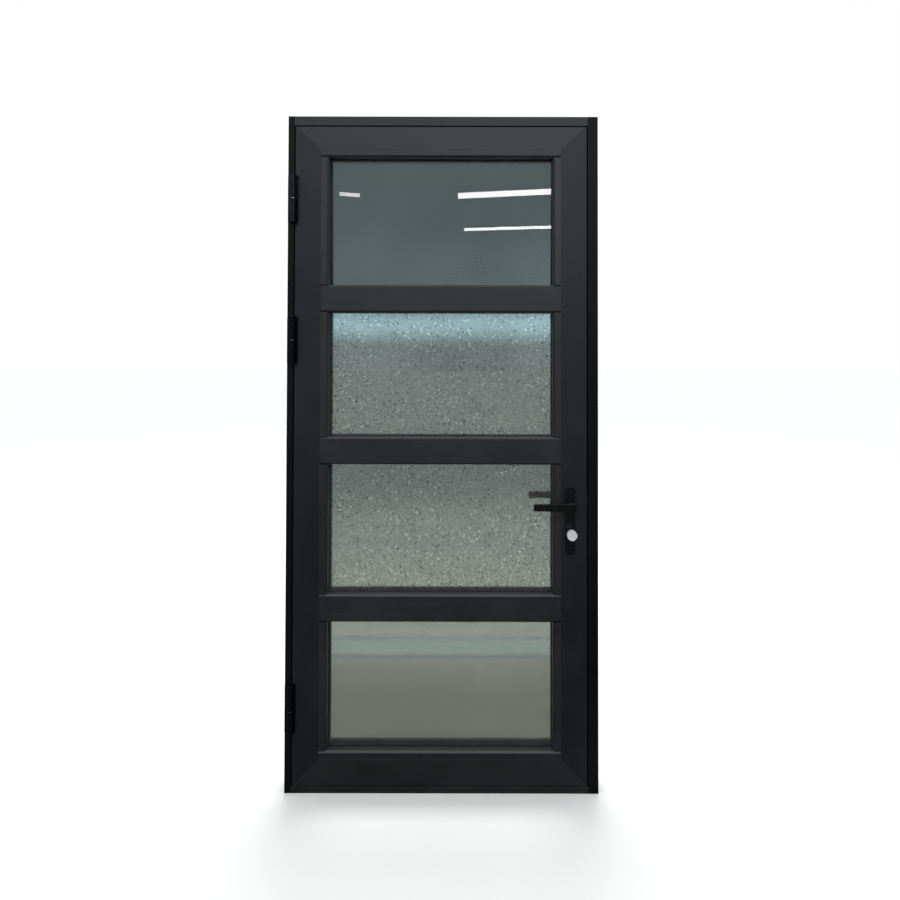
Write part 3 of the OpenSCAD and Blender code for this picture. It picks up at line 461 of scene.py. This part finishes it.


# four lit and shaded copies of one coat: painted light on rails, beads, head and sill, painted shade on
# stiles, deeper painted shade on jambs
stileShadedCoat = makePowderCoat("stile powder coat with painted shade", *powderCoat["stile"])
railLitCoat = makePowderCoat("rail powder coat with painted light", *powderCoat["rail"])
headLitCoat = makePowderCoat("head and sill powder coat with painted light", *powderCoat["head"])
jambDeepShadeCoat = makePowderCoat("jamb powder coat with painted deep shade", *powderCoat["jamb"])
paneNames = {1: "upper pane", 2: "second pane", 3: "third pane", 4: "lowest pane"}
paneGlass = {
    number: makeGlass(f"glass, {paneName}", *glassPane["outer"][number])
    for number, paneName in paneNames.items()
}
farGlass = makeGlass("glass, inner panes", *glassPane["inner"])
hingeBlack = makeBlackGloss("hinge gloss black", *blackGloss["hinge"])
handleBlack = makeBlackGloss("handle gloss black", *blackGloss["handle"])
turnedNickel = makeNickel("thumb turn nickel", *satinNickel["turned"])
boltNickel = makeNickel("lock nickel", *satinNickel["drawn"])
blackSteel = makeBareMetal("blackened steel", *bareMetal["black"])
zincSteel = makeBareMetal("zinc plated steel", *bareMetal["zinc"])
millAluminium = makeBareMetal("mill aluminium", *bareMetal["mill"])
sealRubber = makeSoftBlack("gasket rubber", *softBlack["rubber"])
spacerBlack = makeSoftBlack("spacer bar", *softBlack["spacer"])
blockPlastic = makeSoftBlack("setting block plastic", *softBlack["plastic"])
print("glass door: finishes made")


meshRules = {
    "weld": 2e-6,           # corners nearer than this are one
    "flatAngle": 0.5,       # degrees; flatter edges are dissolved
    "flatWeight": 100,      # how firmly large flat faces keep their shading
    "turnedSharp": 32,      # degrees
}


def linkPiece(name, mesh, material):
    piece = bpy.data.objects.new(name, mesh)
    scene.collection.objects.link(piece)
    mesh.materials.clear()
    mesh.materials.append(material)
    return piece


def adopt(piece, body, slotName, *standsFor):
    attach(piece, body)
    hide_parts(*standsFor)


def bakeModifiers(piece):
    graph = bpy.context.evaluated_depsgraph_get()
    mesh = bpy.data.meshes.new_from_object(piece.evaluated_get(graph))
    old = piece.data
    piece.modifiers.clear()
    piece.data = mesh
    bpy.data.meshes.remove(old)


def weldedNode(nodeName):
    bm = bmesh.new()
    bm.from_mesh(nodes[nodeName].data)
    bmesh.ops.remove_doubles(bm, verts=bm.verts, dist=meshRules["weld"])
    return bm


def toMesh(bm, name):
    mesh = bpy.data.meshes.new(name)
    bm.to_mesh(mesh)
    bm.free()
    return mesh


def shadeSmooth(mesh):
    for face in mesh.polygons:
        face.use_smooth = True


def easedCopy(nodeName, name, ease, material):
    # the node's own shape with every arris eased; edges sharper than the angle are rounded
    bm = weldedNode(nodeName)
    flat = math.radians(meshRules["flatAngle"])
    bmesh.ops.dissolve_limit(bm, angle_limit=flat, verts=bm.verts, edges=bm.edges)
    mesh = toMesh(bm, name)
    shadeSmooth(mesh)
    piece = linkPiece(name, mesh, material)
    edges = piece.modifiers.new("eased edges", "BEVEL")
    edges.width = ease["width"]
    edges.segments = ease["segments"]
    edges.limit_method = "ANGLE"
    edges.angle_limit = math.radians(ease["angle"])
    edges.use_clamp_overlap = True
    edges.miter_outer = "MITER_ARC"
    flats = piece.modifiers.new("flat faces stay flat", "WEIGHTED_NORMAL")
    flats.mode = "FACE_AREA"
    flats.weight = meshRules["flatWeight"]
    flats.keep_sharp = True
    bakeModifiers(piece)
    return piece


def islands(nodeName):
    # lowest and highest corner of each separate solid in one node
    bm = weldedNode(nodeName)
    left = set(bm.verts)
    boxes = []
    while left:
        stack = [left.pop()]
        found = []
        while stack:
            vert = stack.pop()
            found.append(vert.co.copy())
            for edge in vert.link_edges:
                other = edge.other_vert(vert)
                if other in left:
                    left.discard(other)
                    stack.append(other)
        boxes.append((Vector(map(min, zip(*found))), Vector(map(max, zip(*found)))))
    bm.free()
    return sorted(boxes, key=lambda box: tuple(box[0]))


def lathe(profile, steps):
    # profile is (distance along the axis, radius) and starts and ends on the axis, which is +Z
    bm = bmesh.new()
    turns = [2 * math.pi * k / steps for k in range(steps)]
    rings = []
    for along, radius in profile:
        spots = [(radius * math.cos(turn), radius * math.sin(turn), along) for turn in turns]
        ring = [bm.verts.new(spot) for spot in (spots if radius else spots[:1])]
        rings.append(ring if radius else ring * steps)
    for ring, nextRing in zip(rings, rings[1:]):
        for k in range(steps):
            after = (k + 1) % steps
            corners = (ring[k], ring[after], nextRing[after], nextRing[k])
            bm.faces.new(list(dict.fromkeys(corners)))    # three corners beside the axis, else four
    bmesh.ops.recalc_face_normals(bm, faces=bm.faces)
    return bm


def aimed(origin, direction):
    turn = Vector((0, 0, 1)).rotation_difference(Vector(direction)).to_matrix().to_4x4()
    return Matrix.Translation(origin) @ turn


def smoothMesh(bm, name, angle):
    mesh = toMesh(bm, name)
    shadeSmooth(mesh)
    mesh.set_sharp_from_angle(angle=math.radians(angle))
    return mesh


profileEase = {"width": 0.0006, "segments": 2, "angle": 35}

coatedPieces = [
    ("frame_head", "headBar", "frame", headLitCoat), ("frame_sill", "sillBar", "frame", headLitCoat),
    ("frame_jamb_hinge", "hingeJamb", "frame", jambDeepShadeCoat), ("frame_jamb_lock", "lockJamb", "frame", jambDeepShadeCoat),
    ("stile_hinge", "hingeStile", "leaf", stileShadedCoat), ("stile_lock", "lockStile", "leaf", stileShadedCoat),
    ("rail_top", "topRail", "leaf", railLitCoat), ("rail_bottom", "bottomRail", "leaf", railLitCoat),
    ("mid_rail_1", "upperMidRail", "leaf", railLitCoat), ("mid_rail_2", "centreMidRail", "leaf", railLitCoat),
    ("mid_rail_3", "lowerMidRail", "leaf", railLitCoat),
    ("beads_1", "paneBeads1", "leaf", railLitCoat), ("beads_2", "paneBeads2", "leaf", railLitCoat),
    ("beads_3", "paneBeads3", "leaf", railLitCoat), ("beads_4", "paneBeads4", "leaf", railLitCoat),
]
for nodeName, name, body, coat in coatedPieces:
    bar = easedCopy(nodeName, name, profileEase, coat)
    adopt(bar, body, "powder_coat", nodeName)
print("glass door: profiles eased and coated")


def finishNode(nodeName, material):
    node = nodes[nodeName]
    node.data.materials.clear()
    node.data.materials.append(material)
    return node


for number in paneNames:
    for nodeName, glass in ((f"outer_pane_{number}", paneGlass[number]), (f"inner_pane_{number}", farGlass)):
        finishNode(nodeName, glass).visible_shadow = False   # lamps shine through the glass

plainFinishes = {
    "frame_seal": sealRubber, "front_gaskets": sealRubber, "back_gaskets": sealRubber,
    "pane_spacers": spacerBlack, "setting_blocks": blockPlastic,
    "frame_corner_blocks": millAluminium, "leaf_corner_cleats": millAluminium,
    "mid_rail_blocks": millAluminium,
    "frame_corner_screws": zincSteel, "mid_rail_screws": zincSteel, "hinge_washers": zincSteel,
    "lock_case": zincSteel, "spindle": zincSteel, "lock_follower": zincSteel,
    "hinge_pins": boltNickel, "turn_plug": boltNickel,
}
for nodeName, material in plainFinishes.items():
    finishNode(nodeName, material)
print("glass door: glass, rubber and hidden metal finished")


hingeEase = {
    "wing": {"width": 0.0005, "segments": 2, "angle": 50},
    "cap": {"width": 0.0009, "segments": 3, "angle": 40},
}

for nodeName, name, body, ease in (
    ("hinge_frame_wings", "frameHingeWings", "frame", hingeEase["wing"]),
    ("hinge_leaf_wings", "leafHingeWings", "leaf", hingeEase["wing"]),
    ("hinge_bottom_caps", "lowerHingeCaps", "frame", hingeEase["cap"]),
    ("hinge_top_caps", "upperHingeCaps", "leaf", hingeEase["cap"]),
):
    hingePart = easedCopy(nodeName, name, ease, hingeBlack)
    adopt(hingePart, body, "black_gloss", nodeName)


screwSizes = {
    # cone is the head's depth; the rest are radii, all in metres
    "hinge": {"cone": 0.0008, "head": 0.0028, "shank": 0.0020},
    "plate": {"cone": 0.0026, "head": 0.0044, "shank": 0.00245},
    "strike": {"cone": 0.0020, "head": 0.0040, "shank": 0.0020},
}

screwShape = {
    # shares of the head's radius
    "rimRadius": 0.94, "rimDepth": 0.03,
    "crossReach": 0.56, "crossArm": 0.17, "crossDepth": 0.30,
    "crossTaper": 0.72,       # size of the cross at its floor
    "steps": 32,
    # no two screws stop at the same angle: radians for each metre, within a quarter turn
    "twistAcross": 3.1, "twistUp": 7.3, "quarterTurn": 1.57,
}


def crossCutter(headRadius):
    bm = bmesh.new()
    reach, arm, depth = (screwShape[key] * headRadius for key in ("crossReach", "crossArm", "crossDepth"))
    taper = screwShape["crossTaper"]
    corners = ((-1, -1), (1, -1), (1, 1), (-1, 1))
    for a, b in ((reach, arm), (arm, reach)):
        top = [bm.verts.new((x * a, y * b, -headRadius)) for x, y in corners]
        low = [bm.verts.new((x * a * taper, y * b * taper, depth)) for x, y in corners]
        bm.faces.new(top[::-1])
        bm.faces.new(low)
        for k in range(4):
            after = (k + 1) % 4
            bm.faces.new((top[k], top[after], low[after], low[k]))
    bmesh.ops.recalc_face_normals(bm, faces=bm.faces)
    return toMesh(bm, "cutter")


def screwMesh(size, length):
    head, shank = size["head"], size["shank"]
    turned = lathe([(0, 0), (0, head * screwShape["rimRadius"]), (head * screwShape["rimDepth"], head),
                    (size["cone"], shank), (length, shank), (length, 0)], screwShape["steps"])
    screw = bpy.data.objects.new("screw", toMesh(turned, "screw"))
    scene.collection.objects.link(screw)
    cross = bpy.data.objects.new("cutter", crossCutter(head))
    scene.collection.objects.link(cross)
    cut = screw.modifiers.new("cross", "BOOLEAN")
    cut.operation = "DIFFERENCE"
    cut.use_self = True
    cut.object = cross
    bakeModifiers(screw)
    result = screw.data.copy()
    bpy.data.objects.remove(screw)
    bpy.data.objects.remove(cross)
    return result


def screwSet(nodeName, name, body, slotName, material, direction, size):
    axis = max(range(3), key=lambda k: abs(direction[k]))
    bm = bmesh.new()
    for low, high in islands(nodeName):
        start = (low + high) / 2
        start[axis] = low[axis] if direction[axis] > 0 else high[axis]
        part = screwMesh(size, high[axis] - low[axis])
        angle = start.z * screwShape["twistUp"] + start.x * screwShape["twistAcross"]
        spin = Matrix.Rotation(angle % screwShape["quarterTurn"], 4, "Z")
        part.transform(aimed(start, direction) @ spin)
        bm.from_mesh(part)
        bpy.data.meshes.remove(part)
    piece = linkPiece(name, smoothMesh(bm, name, meshRules["turnedSharp"]), material)
    adopt(piece, body, slotName, nodeName)


for nodeName, name, body, slotName, material, direction, size in (
    ("hinge_frame_screws", "frameHingeScrews", "frame", "black_gloss", hingeBlack, (0, 1, 0), "hinge"),
    ("hinge_leaf_screws", "leafHingeScrews", "leaf", "black_gloss", hingeBlack, (0, 1, 0), "hinge"),
    ("handle_plate_screws", "plateScrews", "leaf", "steel", blackSteel, (0, 1, 0), "plate"),
    ("strike_screws", "strikeScrews", "frame", "steel", zincSteel, (1, 0, 0), "strike"),
    ("lock_screws", "lockScrews", "leaf", "steel", zincSteel, (-1, 0, 0), "strike"),
):
    screwSet(nodeName, name, body, slotName, material, direction, screwSizes[size])
print("glass door: hinges and screws built")


handleEase = {
    "plate": {"width": 0.0018, "segments": 4, "angle": 50},
    "lever": {"width": 0.0030, "segments": 5, "angle": 50},
}

for side in ("front", "back"):
    plate = easedCopy(f"handle_plate_{side}", f"{side}Plate", handleEase["plate"], handleBlack)
    adopt(plate, "leaf", "black_gloss", f"handle_plate_{side}")
    lever = easedCopy(f"lever_{side}", f"{side}Lever", handleEase["lever"], handleBlack)
    adopt(lever, "handle", "black_gloss", f"lever_{side}")

knob = {
    "headLength": 0.018,
    "neckRadius": 0.0085,
    "chamfer": 0.0011,       # bright ring round the face
    "faceDip": 0.0005,       # the face lies a little below its ring
    "ring": 0.0026,
    "ringSlope": 0.0006,
    "discLength": 0.0052,
    "groove": 0.0034,        # between front disc and collar
    "grooveDepth": 0.00544,
    "collarInset": 0.0008,
    "collarEase": 0.0012,
    "edgeEase": 0.0004,
    "neckFillet": 0.0008,
    "steps": 96,
    "sharp": 28,             # degrees
}


def buildKnob():
    low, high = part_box("thumb_turn")
    radius = (high.x - low.x) / 2
    length = high.y - low.y
    middle = Vector(((low.x + high.x) / 2, low.y, (low.z + high.z) / 2))
    dip, ring, chamfer = knob["faceDip"], knob["ring"], knob["chamfer"]
    disc, edge, floor = knob["discLength"], knob["edgeEase"], radius - knob["grooveDepth"]
    back, collar, ease = disc + knob["groove"], radius - knob["collarInset"], knob["collarEase"]
    head, neck, fillet = knob["headLength"], knob["neckRadius"], knob["neckFillet"]
    profile = [
        (dip, 0), (dip, radius - ring - knob["ringSlope"]), (0, radius - ring), (0, radius - chamfer),
        (chamfer * 0.35, radius - chamfer * 0.3), (chamfer, radius),     # a rounded front corner
        (disc - edge, radius), (disc, radius - edge), (disc, floor), (back, floor),
        (back, collar - edge), (back + edge, collar), (head - ease, collar), (head, collar - ease),
        (head, neck + fillet), (head + fillet, neck), (length, neck), (length, 0),
    ]
    bm = lathe(profile, knob["steps"])
    bm.transform(aimed(middle, (0, 1, 0)))
    piece = linkPiece("thumbTurn", smoothMesh(bm, "thumbTurn", knob["sharp"]), turnedNickel)
    adopt(piece, "turn", "nickel", "thumb_turn")


buildKnob()

lockEase = {"width": 0.0005, "segments": 2, "angle": 50}

for nodeName, name, body, slotName, material in (
    ("cylinder_body", "lockCylinder", "leaf", "nickel", boltNickel),
    ("key_plug", "keyPlug", "key", "nickel", boltNickel),
    ("latch_bolt", "latchBolt", "latch", "nickel", boltNickel),
    ("deadbolt", "deadBolt", "bolt", "nickel", boltNickel),
    ("lock_faceplate", "lockFaceplate", "leaf", "steel", zincSteel),
    ("strike_plate", "strikePlate", "frame", "steel", zincSteel),
):
    lockPart = easedCopy(nodeName, name, lockEase, material)
    adopt(lockPart, body, slotName, nodeName)
print("glass door: handle set and lock built")


stage = {
    "floorHalf": 30.0,
    "floorDrop": 0.0005,                   # keeps the floor clear of the sill's underside
    "floorColour": (0.95, 0.95, 0.945),
    "floorGloss": (0.05, 0.05, 0.045),     # what glossy surfaces see of it
    "floorRoughness": 0.9,
    "floorSpecular": 0.1,
    # tones that the panes show of the floor, from the door's plane to this many metres away; darker in the
    # first 0.65 m as painted shadow of the door
    "reach": 8,
    "throughGlass": [
        (0.000, (0.60, 0.585, 0.505)), (0.055, (0.52, 0.505, 0.435)), (0.080, (0.62, 0.61, 0.535)),
        (0.0885, (0.74, 0.73, 0.645)), (0.0895, (0.42, 0.43, 0.41)), (0.0905, (0.76, 0.86, 0.81)),
        (0.108, (0.78, 0.88, 0.83)), (0.109, (0.56, 0.60, 0.56)), (0.110, (0.88, 0.87, 0.78)),
        (0.150, (0.74, 0.73, 0.66)), (0.300, (0.62, 0.635, 0.60)), (0.480, (0.44, 0.470, 0.468)),
        (0.850, (0.60, 0.625, 0.615)), (1.000, (0.66, 0.685, 0.675)),
    ],
    "sweepScale": 2.6,
    "sweepStretch": (0.35, 1, 1),
    "sweepTone": (0.90, 1.08),
    "gritScale": 75,
    "gritTone": (0.86, 1.12),
    "stainScale": 8.5,
    "stainStretch": (1, 1.6, 1),
    "stainRange": (0.57, 0.68),
    "stainTone": (1.0, 0.76),
}


def floorThroughGlass(tree):
    # swept concrete with a pale strip just behind the door, darker before the strip as painted shadow of the
    # door
    away = combine(tree, "ABSOLUTE", axisOf(tree, metres(tree), "Y"))
    concreteAndDoorShadow = colourRamp(tree, remap(tree, away, (0, stage["reach"])), stage["throughGlass"])
    sweep = noise(tree, metres(tree, stage["sweepStretch"]), stage["sweepScale"], detail=5, rough=0.6)
    grit = noise(tree, metres(tree), stage["gritScale"], detail=6, rough=0.7)
    stains = noise(tree, metres(tree, stage["stainStretch"]), stage["stainScale"], detail=7, rough=0.62)
    tone = times(tree, remap(tree, sweep, noiseSpan, stage["sweepTone"]),
                 remap(tree, grit, noiseSpan, stage["gritTone"]))
    tone = times(tree, tone, remap(tree, stains, stage["stainRange"], stage["stainTone"]))
    return scaleColour(tree, concreteAndDoorShadow, tone)


def buildFloor():
    mesh = bpy.data.meshes.new("floor")
    half = stage["floorHalf"]
    corners = [(-half, -half, 0), (half, -half, 0), (half, half, 0), (-half, half, 0)]
    mesh.from_pydata(corners, [], [(0, 1, 2, 3)])
    mat, tree, shader = newMaterial("studio floor")
    path = addNode(tree, "ShaderNodeLightPath")
    through = path.outputs["Is Transmission Ray"]
    # rays that have gone through glass count as glossy too, so they are told apart first
    mirrored = times(tree, path.outputs["Is Glossy Ray"], combine(tree, "SUBTRACT", 1.0, through))
    colour = blendColour(tree, mirrored, stage["floorColour"], stage["floorGloss"])
    colour = blendColour(tree, through, colour, floorThroughGlass(tree))
    feed(tree, shader.inputs["Base Color"], colour)
    feed(tree, shader.inputs["Roughness"], stage["floorRoughness"])
    feed(tree, shader.inputs["Specular IOR Level"], stage["floorSpecular"])
    floor = bpy.data.objects.new("floor", mesh)
    floor.data.materials.append(mat)
    scene.collection.objects.link(floor)
    floor.location.z = -stage["floorDrop"]


skies = {
    # position 0 is straight down, 0.5 the horizon, 1 straight up
    "mirrored": [
        (0.00, (0.03, 0.03, 0.026)), (0.36, (0.05, 0.05, 0.045)), (0.46, (0.09, 0.11, 0.12)),
        (0.52, (0.20, 0.28, 0.34)), (0.60, (0.52, 0.68, 0.80)), (0.70, (1.20, 1.36, 1.40)),
        (0.82, (1.4, 1.5, 1.5)), (0.92, (3.6, 3.7, 3.7)), (1.0, (4.0, 4.1, 4.1)),
    ],
    "seenThrough": [
        (0.00, (0.70, 0.71, 0.68)), (0.46, (0.68, 0.70, 0.69)), (0.500, (0.62, 0.69, 0.71)),
        (0.522, (1.35, 1.90, 2.15)), (0.548, (0.36, 0.44, 0.47)), (0.66, (0.17, 0.215, 0.23)),
        (1.0, (0.2, 0.22, 0.22)),
    ],
    "soft": [
        (0.00, (0.35, 0.35, 0.34)), (0.48, (0.55, 0.56, 0.56)), (0.62, (0.95, 0.97, 0.98)),
        (1.0, (1.12, 1.13, 1.14)),
    ],
    "behindAll": (1.0, 1.0, 1.0),    # the plain backdrop round the door
    "sideRange": (0.25, 0.95),
    "sideTone": (0.30, 1.0),         # the mirrored sky to both sides, and in front and behind
    "driftScale": 5.5,
    "driftTone": (0.76, 1.18),
}


def buildWorld():
    world = bpy.data.worlds.new("studio")
    scene.world = world
    world.use_nodes = True
    tree = world.node_tree
    coords = addNode(tree, "ShaderNodeTexCoord")
    direction = coords.outputs["Generated"]
    height = remap(tree, axisOf(tree, direction, "Z"), (-1, 1))
    path = addNode(tree, "ShaderNodeLightPath")
    # the room is open in front and behind, and dim to both sides
    facing = combine(tree, "ABSOLUTE", axisOf(tree, direction, "Y"))
    facing = remap(tree, facing, skies["sideRange"], skies["sideTone"])
    mirrored = scaleColour(tree, colourRamp(tree, height, skies["mirrored"]), facing)
    # slow drifts of tone, so that the panes never look painted
    drift = noise(tree, direction, skies["driftScale"], detail=4, rough=0.6)
    drift = remap(tree, drift, noiseSpan, skies["driftTone"])
    through = scaleColour(tree, colourRamp(tree, height, skies["seenThrough"]), drift)
    soft = colourRamp(tree, height, skies["soft"])
    colour = blendColour(tree, path.outputs["Is Glossy Ray"], soft, mirrored)
    colour = blendColour(tree, path.outputs["Is Transmission Ray"], colour, through)
    colour = blendColour(tree, path.outputs["Is Camera Ray"], colour, skies["behindAll"])
    feed(tree, tree.nodes["Background"].inputs["Color"], colour)


lamps = {
    # place, size and power of soft tubes under the roof in front; glass and black metal pick them up
    "roofTubes": [
        ((0.95, -5.6, 3.64), (2.2, 0.08), 12), ((1.10, -8.2, 3.74), (2.4, 0.055), 9),
        ((-1.66, -5.6, 3.60), (0.28, 0.05), 0.6),
    ],
    "tubeTarget": (0, 0, 1.1),
    "behind": ((0.0, 1.5, 2.9), (2.4, 1.4), 45),
    "behindTarget": (0, 1.2, 0),
}


def addLamp(name, place, size, power, target, mirrored):
    light = bpy.data.lights.new(name, "AREA")
    light.shape = "RECTANGLE"
    light.size, light.size_y = size
    light.energy = power
    lamp = bpy.data.objects.new(name, light)
    lamp.location = place
    aim = Vector(target) - Vector(place)
    lamp.rotation_euler = aim.to_track_quat("-Z", "Y").to_euler()
    lamp.visible_camera = False
    lamp.visible_transmission = False    # never seen straight through a pane
    lamp.visible_glossy = mirrored
    scene.collection.objects.link(lamp)


view = {
    "place": (0.104, -1.732, 1.440),
    "pitchUp": 0.75,       # degrees
    "roll": 0.12,
    "lens": 20.8,
    "sensor": 36,
    "shift": (-0.0271, -0.121),
    "nearest": 0.05,
}


def buildCamera():
    data = bpy.data.cameras.new("camera")
    data.lens = view["lens"]
    data.sensor_width = view["sensor"]
    data.shift_x, data.shift_y = view["shift"]
    data.clip_start = view["nearest"]
    camera = bpy.data.objects.new("camera", data)
    scene.collection.objects.link(camera)
    level = Matrix.Rotation(math.radians(90 + view["pitchUp"]), 4, "X")
    tilt = Matrix.Rotation(math.radians(view["roll"]), 4, "Z")
    camera.matrix_world = Matrix.Translation(view["place"]) @ level @ tilt
    scene.camera = camera


buildFloor()
buildWorld()
for number, tube in enumerate(lamps["roofTubes"]):
    addLamp(f"roofTube{number}", *tube, lamps["tubeTarget"], mirrored=True)
addLamp("floorSoft", *lamps["behind"], lamps["behindTarget"], mirrored=False)
buildCamera()
scene.view_settings.view_transform = "Standard"
print("glass door: floor, light and camera set")
